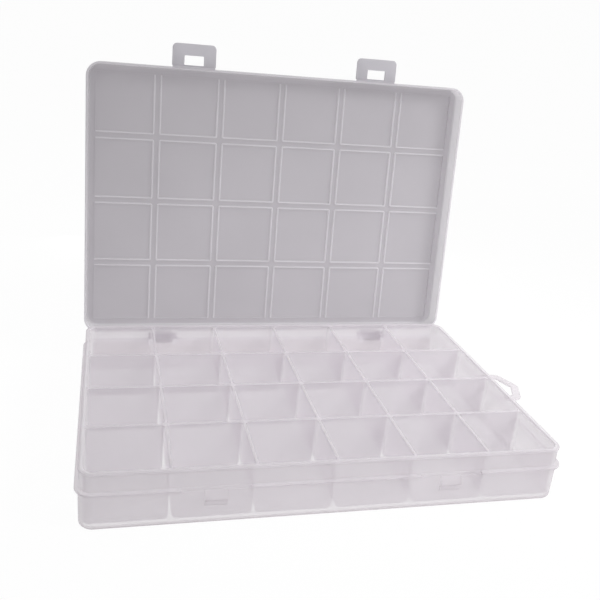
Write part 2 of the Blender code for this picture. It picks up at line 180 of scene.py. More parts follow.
# Painted shade: a darker band along the foot where the tray meets the table, heavier at the front, besides the thicker
# plastic of the foot
FRONT_FOOT_SHADE_AND_DENSITY = 0.5
FOOT_SHADE_AND_DENSITY = 0.3
CATCH_DENSITY = 0.28
# Painted shade: the strip of the back wall under the ledge, for the lid's shade behind it
STRIP_PAINTED_SHADE = 0.6
WALL_DENSITY = 0.2
# Partly painted shade: the lid plate is greyed and made less clear along with the lid's darker palette
PLATE_SHADE_AND_DENSITY = 0.6

# sRGB colours of thick plastic that looks milk-white, also used for painted light and painted highlights, of what
# passes straight through, and of white paper
THICK_AND_LIT_COLOUR = "F6F4F7"
CLEAR_COLOUR = "FCFBFC"
WHITE = "FFFFFF"
PAPER = "F8F8F8"

SIDES = ("left", "right")
CORNER_STEPS = 14
EDGE_STEPS = 3
TURN_STEPS = 48


def arc(centre, radius, start, end, steps):
    """Points along an arc, from one angle in degrees to another."""
    angles = [math.radians(start + (end - start) * i / steps) for i in range(steps + 1)]
    return [(centre[0] + radius * math.cos(a), centre[1] + radius * math.sin(a)) for a in angles]


def rounded_rectangle(half_x, half_y, radius, steps=CORNER_STEPS):
    """Anticlockwise outline about the origin with round corners."""
    points = []
    for quarter, (sign_x, sign_y) in enumerate(((1, 1), (-1, 1), (-1, -1), (1, -1))):
        centre = (sign_x * (half_x - radius), sign_y * (half_y - radius))
        points += arc(centre, radius, quarter * 90, quarter * 90 + 90, steps)
    return points


def eased(points, radii, steps=EDGE_STEPS):
    """An open run of points with each inner corner replaced by an arc of its own radius."""
    run = [points[0]]
    for before, corner, after, radius in zip(points, points[1:], points[2:], radii):
        into = Vector(corner) - Vector(before)
        out = Vector(after) - Vector(corner)
        turn = into.angle(out)
        if radius == 0 or turn < math.radians(1):
            run.append(corner)
            continue
        into.normalize()
        out.normalize()
        reach = radius * math.tan(turn / 2)
        side = 1 if into.x * out.y - into.y * out.x > 0 else -1
        normal = Vector((-into.y, into.x)) * side
        start = Vector(corner) - into * reach
        for i in range(steps + 1):
            angle = turn * i / steps
            run.append(tuple(start + into * radius * math.sin(angle) + normal * radius * (1 - math.cos(angle))))
    return run + [points[-1]]


def loft_faces(solid, rings, around=True, closed=False):
    """Join rings of equally many points by faces, with end caps unless the rings close on themselves."""
    loops = [[solid.verts.new(point) for point in ring] for ring in rings]
    pairs = list(zip(loops, loops[1:]))
    if closed:
        pairs.append((loops[-1], loops[0]))
    for lower, upper in pairs:
        for i in range(len(lower) if around else len(lower) - 1):
            j = (i + 1) % len(lower)
            solid.faces.new((lower[i], lower[j], upper[j], upper[i]))
    if not closed:
        solid.faces.new(reversed(loops[0]))
        solid.faces.new(loops[-1])


def to_object(name, solid):
    """A named object from a bmesh, with its faces pointing out."""
    bmesh.ops.recalc_face_normals(solid, faces=solid.faces)
    mesh = bpy.data.meshes.new(name)
    solid.to_mesh(mesh)
    solid.free()
    item = bpy.data.objects.new(name, mesh)
    bpy.context.collection.objects.link(item)
    return item


def lofted(name, rings, closed=False):
    solid = bmesh.new()
    loft_faces(solid, rings, closed=closed)
    return to_object(name, solid)


def extruded(name, outline, start, end, place=(0, 0)):
    """A prism along X from a (y, z) outline."""
    return lofted(name, [[(x, y + place[0], z + place[1]) for y, z in outline] for x in (start, end)])


def block(name, low, high):
    corners = [(low[0], low[1]), (high[0], low[1]), (high[0], high[1]), (low[0], high[1])]
    return lofted(name, [[(x, y, z) for x, y in corners] for z in (low[2], high[2])])


def settle(item):
    """Turn an object's modifiers into a plain mesh."""
    bpy.context.view_layer.update()
    evaluated = item.evaluated_get(bpy.context.evaluated_depsgraph_get())
    mesh = bpy.data.meshes.new_from_object(evaluated)
    item.modifiers.clear()
    old = item.data
    item.data = mesh
    bpy.data.meshes.remove(old)
    mesh.name = item.name
    return item


def combine(item, operation, *tools):
    """Cut, join or keep what is shared, one tool after another, and leave a plain mesh."""
    for tool in tools:
        modifier = item.modifiers.new(operation.title(), "BOOLEAN")
        modifier.operation = operation
        modifier.solver = "EXACT"
        modifier.object = tool
        settle(item)
        bpy.data.objects.remove(tool, do_unlink=True)
    return item


def open_up(item):
    """Turn a piece drawn on the shut lid to where the lid stands open."""
    turn = Matrix.Translation(HINGE) @ Matrix.Rotation(-OPEN_ANGLE, 4, "X") @ Matrix.Translation(-HINGE)
    item.data.transform(turn)
    return item


def finish_surface(item, material, sharp=38):
    """Give a finished piece its plastic and its shading."""
    mesh = item.data
    mesh.materials.clear()
    mesh.materials.append(material)
    mesh.shade_smooth()
    mesh.set_sharp_from_angle(angle=math.radians(sharp))
    return item


def add_node(tree, kind, settings=None, inputs=None, links=None):
    """Add a node with its settings, input values and incoming links."""
    node = tree.nodes.new(kind)
    for key, value in (settings or {}).items():
        setattr(node, key, value)
    for key, value in (inputs or {}).items():
        node.inputs[key].default_value = value
    for key, socket in (links or {}).items():
        tree.links.new(socket, node.inputs[key])
    return node


def new_tree(name, sizes):
    """A geometry tree with named inputs, and its input and output nodes."""
    tree = bpy.data.node_groups.new(name, "GeometryNodeTree")
    tree.interface.new_socket("Geometry", in_out="INPUT", socket_type="NodeSocketGeometry")
    for size_name, kind in sizes:
        tree.interface.new_socket(size_name, in_out="INPUT", socket_type=kind)
    tree.interface.new_socket("Geometry", in_out="OUTPUT", socket_type="NodeSocketGeometry")
    return tree, tree.nodes.new("NodeGroupInput"), tree.nodes.new("NodeGroupOutput")


def run_tree(item, tree, values):
    """Run a geometry tree on an object with its named inputs set, and leave a plain mesh."""
    modifier = item.modifiers.new(tree.name, "NODES")
    modifier.node_group = tree
    for socket in tree.interface.items_tree:
        if socket.in_out == "INPUT" and socket.name in values:
            modifier[socket.identifier] = values[socket.name]
    return settle(item)


def spread_cells(tree, given, instance):
    """Set one instance in each cell of the grid, each as wide and deep as its cell."""
    def calculate(operation, *values):
        links = {i: value for i, value in enumerate(values) if not isinstance(value, (int, float))}
        plain = {i: value for i, value in enumerate(values) if isinstance(value, (int, float))}
        return add_node(tree, "ShaderNodeMath", {"operation": operation}, plain, links).outputs[0]

    spans = [calculate("MULTIPLY", calculate("SUBTRACT", given[count], 1), given[pitch])
             for count, pitch in (("Columns", "Pitch X"), ("Rows", "Pitch Y"))]
    grid = add_node(tree, "GeometryNodeMeshGrid", links={
        "Size X": spans[0], "Size Y": spans[1], "Vertices X": given["Columns"], "Vertices Y": given["Rows"]})
    place = add_node(tree, "ShaderNodeSeparateXYZ", links={
        0: add_node(tree, "GeometryNodeInputPosition").outputs[0]})
    scales, moves = [], []
    for axis, (pitch, limit, drawn) in enumerate((
            ("Pitch X", "Limit X", "Drawn X"), ("Pitch Y", "Limit Y", "Drawn Y"))):
        half = calculate("DIVIDE", calculate("SUBTRACT", given[pitch], given["Between"]), 2)
        low = calculate("MAXIMUM", calculate("SUBTRACT", place.outputs[axis], half),
                        calculate("MULTIPLY", given[limit], -1))
        high = calculate("MINIMUM", calculate("ADD", place.outputs[axis], half), given[limit])
        middle = calculate("DIVIDE", calculate("ADD", low, high), 2)
        scales.append(calculate("DIVIDE", calculate("SUBTRACT", high, low), given[drawn]))
        moves.append(calculate("SUBTRACT", middle, place.outputs[axis]))
    scale = add_node(tree, "ShaderNodeCombineXYZ", inputs={2: 1.0}, links={0: scales[0], 1: scales[1]})
    move = add_node(tree, "ShaderNodeCombineXYZ", links={0: moves[0], 1: moves[1]})
    laid = add_node(tree, "GeometryNodeInstanceOnPoints", links={
        "Points": grid.outputs["Mesh"], "Instance": instance, "Scale": scale.outputs[0]})
    moved = add_node(tree, "GeometryNodeTranslateInstances", links={
        "Instances": laid.outputs[0], "Translation": move.outputs[0]})
    return add_node(tree, "GeometryNodeRealizeInstances", links={0: moved.outputs[0]}).outputs[0]


CELL_INPUTS = (
    ("Columns", "NodeSocketInt"), ("Rows", "NodeSocketInt"), ("Pitch X", "NodeSocketFloat"),
    ("Pitch Y", "NodeSocketFloat"), ("Between", "NodeSocketFloat"), ("Limit X", "NodeSocketFloat"),
    ("Limit Y", "NodeSocketFloat"), ("Drawn X", "NodeSocketFloat"), ("Drawn Y", "NodeSocketFloat"),
)


def cell_values(between, limit_x, limit_y, drawn_x, drawn_y):
    return {
        "Columns": COLUMNS, "Rows": ROWS, "Pitch X": PITCH_X, "Pitch Y": PITCH_Y, "Between": between,
        "Limit X": limit_x, "Limit Y": limit_y, "Drawn X": drawn_x, "Drawn Y": drawn_y,
    }


def hex_colour(text):
    """An sRGB hex colour as the linear colour that a shader takes."""
    channels = [int(text[i:i + 2], 16) / 255 for i in (0, 2, 4)]
    return (*[c / 12.92 if c <= 0.04045 else ((c + 0.055) / 1.055) ** 2.4 for c in channels], 1.0)


def moulded_polypropylene(name, pale, deep, dense_and_shade_colour, glow, clear, roughness):
    """Natural polypropylene, injection moulded against a lightly etched tool.

    The eye gets a milk-white, waxy sheet: soft broad highlights, slow cloudy tone from uneven cooling,
    a grain too fine to pick out, and shapes behind it seen as if through mist. Where the sheet is thick
    or meets an edge it turns whiter ("milky_and_painted_light") or closer and greyer ("dense_and_painted_shade");
    the same whitening also carries painted highlights and painted light, and the same greying carries painted shade.
    """
    material = bpy.data.materials.new(name)
    material.use_nodes = True
    tree = material.node_tree
    tree.nodes.clear()
    place = add_node(tree, "ShaderNodeTexCoord").outputs["Object"]
    cloud_size = 0.045
    grain_size = 0.00045
    flow_size = 0.012
    cloud = add_node(tree, "ShaderNodeTexNoise", links={"Vector": place}, inputs={
        "Scale": 1 / cloud_size, "Detail": 3.0, "Roughness": 0.45})
    flow = add_node(tree, "ShaderNodeTexNoise", links={"Vector": place}, inputs={
        "Scale": 1 / flow_size, "Detail": 2.0, "Distortion": 0.6})
    grain = add_node(tree, "ShaderNodeTexNoise", links={"Vector": place}, inputs={
        "Scale": 1 / grain_size, "Detail": 2.0})
    tone = add_node(tree, "ShaderNodeMapRange", inputs={"From Min": 0.3, "From Max": 0.7},
                    links={"Value": cloud.outputs[0]})
    colour = add_node(tree, "ShaderNodeMix", {"data_type": "RGBA"}, links={"Factor": tone.outputs[0]})
    colour.inputs[6].default_value = hex_colour(pale)
    colour.inputs[7].default_value = hex_colour(deep)
    dull = add_node(tree, "ShaderNodeMapRange", inputs={"To Min": roughness - 0.05, "To Max": roughness + 0.06},
                    links={"Value": flow.outputs[0]})
    skin = add_node(tree, "ShaderNodeBump", inputs={"Strength": 0.25, "Distance": 0.00003},
                    links={"Height": grain.outputs[0]})
    # Per-face whitening: thick plastic, plus painted light and painted highlights
    milky_and_painted_light = add_node(tree, "ShaderNodeAttribute", {"attribute_name": "milky_and_painted_light"})
    whole = add_node(tree, "ShaderNodeMix", {"data_type": "RGBA"}, links={
        "Factor": milky_and_painted_light.outputs["Fac"], 6: colour.outputs[2]})
    whole.inputs[7].default_value = hex_colour(THICK_AND_LIT_COLOUR)
    # Per-face greying: thick plastic, plus painted shade
    dense_and_painted_shade = add_node(tree, "ShaderNodeAttribute", {"attribute_name": "dense_and_painted_shade"})
    shaded = add_node(tree, "ShaderNodeMix", {"data_type": "RGBA"}, links={
        "Factor": dense_and_painted_shade.outputs["Fac"], 6: whole.outputs[2]})
    shaded.inputs[7].default_value = hex_colour(dense_and_shade_colour)
    body = add_node(tree, "ShaderNodeBsdfPrincipled", inputs={"IOR": 1.49}, links={
        "Base Color": shaded.outputs[2], "Roughness": dull.outputs[0], "Normal": skin.outputs[0]})
    through = add_node(tree, "ShaderNodeBsdfTranslucent", links={"Color": shaded.outputs[2]})
    sheet_light = add_node(tree, "ShaderNodeMixShader", inputs={0: glow}, links={
        1: body.outputs[0], 2: through.outputs[0]})
    straight = add_node(tree, "ShaderNodeBsdfTransparent", inputs={"Color": hex_colour(CLEAR_COLOUR)})
    closed = add_node(tree, "ShaderNodeMath", {"operation": "MAXIMUM"}, links={
        0: dense_and_painted_shade.outputs["Fac"], 1: milky_and_painted_light.outputs["Fac"]})
    passing = add_node(tree, "ShaderNodeMapRange", inputs={"To Min": clear, "To Max": 0.2 * clear}, links={
        "Value": closed.outputs[0]})
    sheet = add_node(tree, "ShaderNodeMixShader", links={
        0: passing.outputs[0], 1: sheet_light.outputs[0], 2: straight.outputs[0]})
    add_node(tree, "ShaderNodeOutputMaterial", links={"Surface": sheet.outputs[0]})
    return material


def mark_faces(item, quality, amount):
    """Write down on each face how much of a quality the plastic behind it has."""
    mesh = item.data
    layer = mesh.attributes.new(quality, "FLOAT", "FACE")
    for face in mesh.polygons:
        layer.data[face.index].value = amount(*face.center)


def tray_ring(inset, height):
    outline = rounded_rectangle(TRAY_HALF_X - inset, TRAY_HALF_Y - inset, CORNER_RADIUS - inset)
    return [(x, y, height) for x, y in outline]


def make_tray(material):
    """The tray in one moulding: outside, cells, hinge lugs, catches and loop."""
    def wall_point(height):
        return (BODY_DRAFT * (1 - height / LEDGE_BOTTOM_Z), height)

    # The points at FOOT_BAND and at SHADED_STRIP under the ledge only split the straight drafted wall, giving the
    # painted shade of the foot band and of the back strip faces of their own.
    outside = eased([
        (BODY_DRAFT + FOOT_RADIUS * 2, 0), (BODY_DRAFT, 0), wall_point(FOOT_BAND),
        wall_point(LEDGE_BOTTOM_Z - SHADED_STRIP), (0, LEDGE_BOTTOM_Z), (-LEDGE_REACH, LEDGE_BOTTOM_Z),
        (-LEDGE_REACH, LEDGE_TOP_Z), (RIM_LIP_REACH, LEDGE_TOP_Z), (RIM_LIP_REACH, RIM_Z - RIM_LIP_HEIGHT),
        (0, RIM_Z - RIM_LIP_HEIGHT), (0, RIM_Z), (INNER_INSET / 2, RIM_Z),
    ], [FOOT_RADIUS, 0, 0, LEDGE_EDGE, LEDGE_EDGE, LEDGE_EDGE, LEDGE_EDGE, 0, RIM_EDGE / 2, RIM_EDGE], steps=5)
    tray = lofted("tray_moulding", [tray_ring(inset, height) for inset, height in outside])

    notches = []
    stub = RIM_LIP_REACH / 2
    low_z, high_z = LEDGE_BOTTOM_Z - OVERRUN / 2, LEDGE_TOP_Z + OVERRUN / 2
    for side in SIDES:
        catch_low, catch_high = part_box(f"latch_catch_{side}")
        middle = (catch_low[0] + catch_high[0]) / 2
        half = LEDGE_NOTCH_WIDTH / 2
        notches.append(block("latch_notch", (middle - half, -LEDGE_HALF_Y - OVERRUN, low_z),
                             (middle + half, -TRAY_HALF_Y + stub, high_z)))
        lug_low, lug_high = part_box(f"hinge_lugs_{side}")
        notches.append(block("hinge_notch", (lug_low[0] - CLIP_PLAY, TRAY_HALF_Y - stub, low_z),
                             (lug_high[0] + CLIP_PLAY, LEDGE_HALF_Y + OVERRUN, high_z)))
    combine(tray, "DIFFERENCE", *notches)
    combine(tray, "DIFFERENCE", make_cells())
    combine(tray, "UNION", *make_catches(), *make_lugs(), make_loop())
    finish_surface(tray, material)

    def milkiness_and_painted_light(x, y, z):
        # painted light on the back ledge, hinge lugs and pins, lifting them out of the lid's shade, besides their
        # thick plastic
        if y > TRAY_HALF_Y + LEDGE_EDGE and abs(x) < LEDGE_HALF_X - CORNER_RADIUS:
            return BACK_LEDGE_PAINTED_LIGHT
        # rim, ledge and divider tops: whiter thick plastic plus painted highlight along the edges
        if z > RIM_Z - RIM_EDGE:
            return RIM_MILK_AND_HIGHLIGHT
        if y < LEDGE_EDGE - TRAY_HALF_Y and z < LEDGE_BOTTOM_Z - LID_GAP:
            return 0.0
        if max(abs(x) - TRAY_HALF_X, abs(y) - TRAY_HALF_Y) > LEDGE_EDGE:
            return LEDGE_MILK_AND_HIGHLIGHT
        return DIVIDER_TOP_MILK_AND_HIGHLIGHT if z > DIVIDER_TOP_Z - DIVIDER_EDGE else 0.0

    def density_and_painted_shade(x, y, z):
        inset = min(TRAY_HALF_X - abs(x), TRAY_HALF_Y - abs(y))
        if inset > INNER_INSET + WALL_FLUSH * 2:
            return 0.0
        # painted shade along the foot where the tray meets the table, partly also thicker plastic
        if z < FOOT_BAND and inset < INNER_INSET:
            return FRONT_FOOT_SHADE_AND_DENSITY if y < BODY_DRAFT + FOOT_RADIUS - TRAY_HALF_Y else FOOT_SHADE_AND_DENSITY
        if y < -TRAY_HALF_Y - WALL_FLUSH and z < LEDGE_BOTTOM_Z:
            return CATCH_DENSITY
        if y > TRAY_HALF_Y + LEDGE_EDGE:
            return 0.0
        # painted shade: the back wall's strip under the ledge is darker and less clear, for the lid's shade behind it
        in_shaded_strip = y > TRAY_HALF_Y - WALL / 2 and LEDGE_BOTTOM_Z > z > LEDGE_BOTTOM_Z - SHADED_STRIP
        return STRIP_PAINTED_SHADE if in_shaded_strip else WALL_DENSITY

    mark_faces(tray, "milky_and_painted_light", milkiness_and_painted_light)
    mark_faces(tray, "dense_and_painted_shade", density_and_painted_shade)
    cells = [name for name in frame["nodes"] if "divider" in name]
    others = [f"{part}_{side}" for part in ("latch_catch", "hinge_lugs") for side in SIDES]
    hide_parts("tray_shell", "hanging_loop", *cells, *others)
    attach(tray, "tray")
    return tray


def make_cells():
    """What the mould's cores leave empty: one core for each cell, and the room above the dividers."""
    drawn_x = PITCH_X - DIVIDER_TOP_THICKNESS
    drawn_y = PITCH_Y - DIVIDER_TOP_THICKNESS
    taper = (DIVIDER_FOOT_THICKNESS - DIVIDER_TOP_THICKNESS) / 2
    profile = eased([
        (taper + CELL_FLOOR_RADIUS * 2, FLOOR), (taper, FLOOR), (0, DIVIDER_TOP_Z), (-DIVIDER_EDGE * 2, DIVIDER_TOP_Z),
    ], [CELL_FLOOR_RADIUS, DIVIDER_EDGE], steps=5)[:-1]
    profile.append((-DIVIDER_EDGE, DIVIDER_TOP_Z + OVERRUN / 4))
    rings = []
    for inset, height in profile:
        outline = rounded_rectangle(drawn_x / 2 - inset, drawn_y / 2 - inset, CELL_CORNER, 6)
        rings.append([(x, y, height) for x, y in outline])
    cores = lofted("cell_cores", rings)

    tree, given, result = new_tree("cell cores", CELL_INPUTS)
    laid = spread_cells(tree, given.outputs, given.outputs["Geometry"])
    painted = add_node(tree, "GeometryNodeSetMaterial", links={0: laid})
    tree.links.new(painted.outputs[0], result.inputs[0])
    flush = INNER_INSET + WALL_FLUSH
    run_tree(cores, tree, cell_values(
        DIVIDER_TOP_THICKNESS, TRAY_HALF_X - flush, TRAY_HALF_Y - flush, drawn_x, drawn_y))

    room = block("room_above_dividers", (-TRAY_HALF_X, -TRAY_HALF_Y, DIVIDER_TOP_Z),
                 (TRAY_HALF_X, TRAY_HALF_Y, RIM_Z + OVERRUN * 2))
    combine(cores, "UNION", room)
    inside = eased([
        (INNER_INSET, FLOOR - OVERRUN / 2), (INNER_INSET, RIM_Z), (0, RIM_Z),
    ], [RIM_EDGE])[:-1] + [(INNER_INSET - RIM_EDGE, RIM_Z + OVERRUN)]
    return combine(cores, "INTERSECT", lofted("inside", [tray_ring(inset, height) for inset, height in inside]))


def make_catches():
    """Wedges that a tab's bar rides over, with the hook edge below and a low pad behind the bar."""
    inner_y = -TRAY_HALF_Y + SEAT
    outer_y = -TRAY_HALF_Y - CATCH_REACH
    pad_y = -TRAY_HALF_Y - CATCH_PAD_REACH
    hook_z = RIM_Z - CATCH_HOOK_DROP
    foot_z = RIM_Z - CATCH_PAD_DROP
    corners = [
        (inner_y, LEDGE_BOTTOM_Z), (-TRAY_HALF_Y, LEDGE_BOTTOM_Z - LID_GAP), (outer_y, hook_z + CATCH_LIP),
        (outer_y, hook_z), (pad_y, hook_z), (pad_y, foot_z), (inner_y, foot_z),
    ]
    outline = eased(corners, [0, CATCH_EDGE * 4, CATCH_EDGE, 0, CATCH_EDGE])
    catches = []
    for side in SIDES:
        low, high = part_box(f"latch_catch_{side}")
        catches.append(extruded(f"catch_{side}", outline, low[0], high[0]))
    return catches


def make_lugs():
    """Two ears and a pin for each hinge."""
    outline = [(-HINGE_REACH - SEAT, EAR_TOP), (-HINGE_REACH - SEAT, -EAR_FOOT)]
    outline += arc((0, 0), EAR_RADIUS, *EAR_ROUND_TURNS, TURN_STEPS // 2)
    place = (HINGE.y, HINGE.z)
    pieces = []
    for side in SIDES:
        low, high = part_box(f"hinge_lugs_{side}")
        pieces.append(extruded(f"ear_outer_{side}", outline, low[0], low[0] + EAR_WIDTH, place))
        pieces.append(extruded(f"ear_inner_{side}", outline, high[0] - EAR_WIDTH, high[0], place))
        circle = arc((0, 0), PIN_RADIUS, 0, 360, TURN_STEPS)[:-1]
        pieces.append(extruded(f"pin_{side}", circle, low[0] + EAR_WIDTH / 2, high[0] - EAR_WIDTH / 2, place))
    return pieces


def make_loop():
    """The flat hanging loop: a band with eased edges that leaves the ledge and comes back."""
    shoulder_x = LEDGE_HALF_X + LOOP_SHOULDER_REACH
    front_y = LOOP_MIDDLE - LOOP_HALF_WIDTH
    back_y = LOOP_MIDDLE + LOOP_HALF_WIDTH
    path = [
        (LEDGE_HALF_X - SEAT, front_y), (shoulder_x, front_y), (LEDGE_HALF_X + LOOP_TIP_REACH, LOOP_MIDDLE),
        (shoulder_x, back_y), (LEDGE_HALF_X - SEAT, back_y),
    ]
    path = [Vector(point) for point in eased(path, [LOOP_CORNER] * 3, steps=8)]
    section = rounded_rectangle(LOOP_BAND / 2, LOOP_THICKNESS / 2, LOOP_EDGE, 4)
    middle_z = LEDGE_TOP_Z - LOOP_THICKNESS / 2
    rings = []
    for i, point in enumerate(path):
        along = (path[min(i + 1, len(path) - 1)] - path[max(i - 1, 0)]).normalized()
        across = Vector((-along.y, along.x))
        rings.append([(*(point + across * u), middle_z + v) for u, v in section])
    return lofted("loop", rings)


def make_lid(material):
    """Plate, skirt, cell ribs and hinge clips in one moulding."""
    outer = -LEDGE_REACH
    inner = LID_SKIRT_WALL - LEDGE_REACH
    profile = eased([
        (outer + LID_EDGE_RADIUS * 2, LID_TOP_Z), (outer, LID_TOP_Z), (outer, SKIRT_RIM_Z), (inner, SKIRT_RIM_Z),
        (inner, LID_UNDERSIDE_Z), (inner + LID_EDGE_RADIUS * 2, LID_UNDERSIDE_Z),
    ], [LID_EDGE_RADIUS, LID_SKIRT_EDGE, LID_SKIRT_EDGE, LID_EDGE_RADIUS], steps=5)
    lid = lofted("lid_moulding", [tray_ring(inset, height) for inset, height in profile])
    notches = []
    for side in SIDES:
        low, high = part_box(f"hinge_lugs_{side}")
        notches.append(block("lug_room", (low[0] - CLIP_PLAY, TRAY_HALF_Y, SKIRT_RIM_Z - OVERRUN),
                             (high[0] + CLIP_PLAY, LEDGE_HALF_Y + OVERRUN, HINGE.z + EAR_RADIUS + CLIP_PLAY)))
    combine(lid, "DIFFERENCE", *notches)
    combine(lid, "UNION", make_ribs(), *make_clips())

    # ribs and skirt rim: whiter thick plastic plus painted highlight along the edges
    def milkiness_and_painted_light(x, y, z):
        in_field = abs(x) < LEDGE_HALF_X - RIB_MARGIN + SEAT and abs(y) < LEDGE_HALF_Y - RIB_MARGIN + SEAT
        if in_field:
            return RIB_MILK_AND_HIGHLIGHT if z < LID_UNDERSIDE_Z - RIB_EDGE / 2 else 0.0
        return SKIRT_RIM_MILK_AND_HIGHLIGHT if SKIRT_RIM_Z - LID_GAP < z < SKIRT_RIM_Z + LID_SKIRT_EDGE else 0.0

    # painted shade: the lid plate is greyed with the rest of the lid's darker palette
    def density_and_painted_shade(x, y, z):
        return PLATE_SHADE_AND_DENSITY if z > LID_UNDERSIDE_Z - RIB_EDGE / 2 else 0.0

    mark_faces(lid, "milky_and_painted_light", milkiness_and_painted_light)
    mark_faces(lid, "dense_and_painted_shade", density_and_painted_shade)
    open_up(lid)
    finish_surface(lid, material)
    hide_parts("lid_shell", *[f"hinge_clip_{side}" for side in SIDES])
    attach(lid, "lid")
    return lid


def make_ribs():
    """A thin rib line inside each cell's edge, cut short before the lid's own edge."""
    tree, given, result = new_tree("cell ribs", CELL_INPUTS + (
        ("Thickness", "NodeSocketFloat"), ("Height", "NodeSocketFloat"), ("Edge", "NodeSocketFloat"),
        ("Corner", "NodeSocketFloat"), ("Level", "NodeSocketFloat")))
    line = add_node(tree, "GeometryNodeCurvePrimitiveQuadrilateral", links={
        "Width": given.outputs["Drawn X"], "Height": given.outputs["Drawn Y"]})
    laid = spread_cells(tree, given.outputs, line.outputs[0])
    bent = add_node(tree, "GeometryNodeFilletCurve", {"mode": "POLY"}, {"Count": EDGE_STEPS}, {
        "Curve": laid, "Radius": given.outputs["Corner"]})
    section = add_node(tree, "GeometryNodeCurvePrimitiveQuadrilateral", links={
        "Width": given.outputs["Thickness"], "Height": given.outputs["Height"]})
    rounded = add_node(tree, "GeometryNodeFilletCurve", {"mode": "POLY"}, {"Count": EDGE_STEPS}, {
        "Curve": section.outputs[0], "Radius": given.outputs["Edge"]})
    swept = add_node(tree, "GeometryNodeCurveToMesh", links={
        "Curve": bent.outputs[0], "Profile Curve": rounded.outputs[0]})
    lift = add_node(tree, "ShaderNodeCombineXYZ", links={2: given.outputs["Level"]})
    raised = add_node(tree, "GeometryNodeTransform", links={
        "Geometry": swept.outputs[0], "Translation": lift.outputs[0]})
    painted = add_node(tree, "GeometryNodeSetMaterial", links={0: raised.outputs[0]})
    tree.links.new(painted.outputs[0], result.inputs[0])

    ribs = to_object("cell_ribs", bmesh.new())
    between = RIB_CHANNEL + RIB_THICKNESS
    sunk = LID_PLATE / 3
    values = cell_values(between, TRAY_HALF_X * 2, TRAY_HALF_Y * 2, PITCH_X - between, PITCH_Y - between)
    values.update({
        "Thickness": RIB_THICKNESS, "Height": RIB_HEIGHT + sunk, "Edge": RIB_EDGE, "Corner": RIB_CORNER,
        "Level": LID_UNDERSIDE_Z - RIB_HEIGHT + (RIB_HEIGHT + sunk) / 2})
    run_tree(ribs, tree, values)
    end_x = LEDGE_HALF_X - RIB_MARGIN
    end_y = LEDGE_HALF_Y - RIB_MARGIN
    return combine(ribs, "INTERSECT", block("rib_field", (-end_x, -end_y, LID_UNDERSIDE_Z - RIB_HEIGHT * 2),
                                            (end_x, end_y, LID_TOP_Z)))


def make_clips():
    """Open clips that snap over the pins, with a heel that stops the lid against the back wall."""
    bore_radius = PIN_RADIUS + CLIP_PLAY
    mouth_angle = 180 + math.degrees(OPEN_ANGLE)
    half_mouth = math.degrees(math.asin(CLIP_MOUTH / 2 / bore_radius))
    arm_y = LEDGE_REACH - HINGE_REACH - SEAT
    facing = Vector((math.cos(math.radians(mouth_angle)), math.sin(math.radians(mouth_angle))))
    along = Vector((-facing.y, facing.x))
    stop = facing * (HINGE_REACH - CLIP_PLAY)
    outline = arc((0, 0), CLIP_RADIUS, CLIP_FRONT_TURN, mouth_angle - half_mouth, TURN_STEPS // 2)
    outline += arc((0, 0), bore_radius, mouth_angle - half_mouth, mouth_angle + half_mouth - 360, TURN_STEPS // 2)
    outline += [tuple(stop + along * CLIP_MOUTH / 2), tuple(stop + along * CLIP_HEEL)]
    outline += arc((0, 0), CLIP_RADIUS, *CLIP_BACK_TURNS, 6)
    outline += [
        (arm_y + SEAT + CLIP_ARM_TIP, CLIP_ARM_HEIGHT), (arm_y, CLIP_ARM_HEIGHT), (arm_y, EAR_RADIUS + CLIP_PLAY),
    ]
    clips = []
    for side in SIDES:
        low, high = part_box(f"hinge_clip_{side}")
        clips.append(extruded(f"clip_{side}", outline, low[0], high[0], (HINGE.y, HINGE.z)))
    return clips


def corner_outline(left, right, near, far, near_radius, far_radius):
    """Anticlockwise plan of a plate in (x, distance from the skirt), with its own radii at each end."""
    points = arc((right - far_radius, far - far_radius), far_radius, 0, 90, 8)
    points += arc((left + far_radius, far - far_radius), far_radius, 90, 180, 8)
    points += arc((left + near_radius, near + near_radius), near_radius, 180, 270, 8)
    points += arc((right - near_radius, near + near_radius), near_radius, 270, 360, 8)
    return points


def make_tab(side, material):
    """A latch tab: raised border, lower field round the window, all edges eased."""
    low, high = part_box(f"latch_tab_{side}")
    middle = (low[0] + high[0]) / 2
    half = (high[0] - low[0]) / 2
    base_z = SKIRT_RIM_Z
    top_z = base_z + TAB_THICKNESS
    field_z = top_z - TAB_RECESS

    def plan(inset, near_inset, height):
        points = corner_outline(-half + inset, half - inset, FILM_END + near_inset, TAB_REACH - inset,
                                max(TAB_ROOT_CORNER - near_inset, TAB_EDGE), TAB_CORNER - inset / 2)
        return [(middle + x, -LEDGE_HALF_Y - y, height) for x, y in points]

    def window(grow, height):
        points = corner_outline(-WINDOW_WIDTH / 2 - grow, WINDOW_WIDTH / 2 + grow, WINDOW_START - grow,
                                WINDOW_END + grow, WINDOW_CORNER + grow, WINDOW_CORNER + grow)
        return [(middle + x, -LEDGE_HALF_Y - y, height) for x, y in points]

    ease = TAB_EDGE
    soft = ease * (1 - math.sqrt(1 / 2))
    rings = [
        window(ease, base_z), plan(ease, ease, base_z), plan(soft, soft, base_z + soft), plan(0, 0, base_z + ease),
        plan(0, 0, top_z - ease), plan(soft, soft, top_z - soft), plan(ease, ease, top_z),
        plan(TAB_BORDER - ease, TAB_ROOT_BORDER - ease, top_z),
        plan(TAB_BORDER, TAB_ROOT_BORDER - soft, top_z - soft),
        plan(TAB_BORDER, TAB_ROOT_BORDER, field_z), window(ease / 2, field_z), window(0, field_z - ease / 2),
        window(0, base_z + ease),
    ]
    tab = open_up(lofted(f"latch_{side}_tab", rings, closed=True))
    finish_surface(tab, material)
    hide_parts(f"latch_tab_{side}")
    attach(tab, f"latch_{side}")
    return middle, half


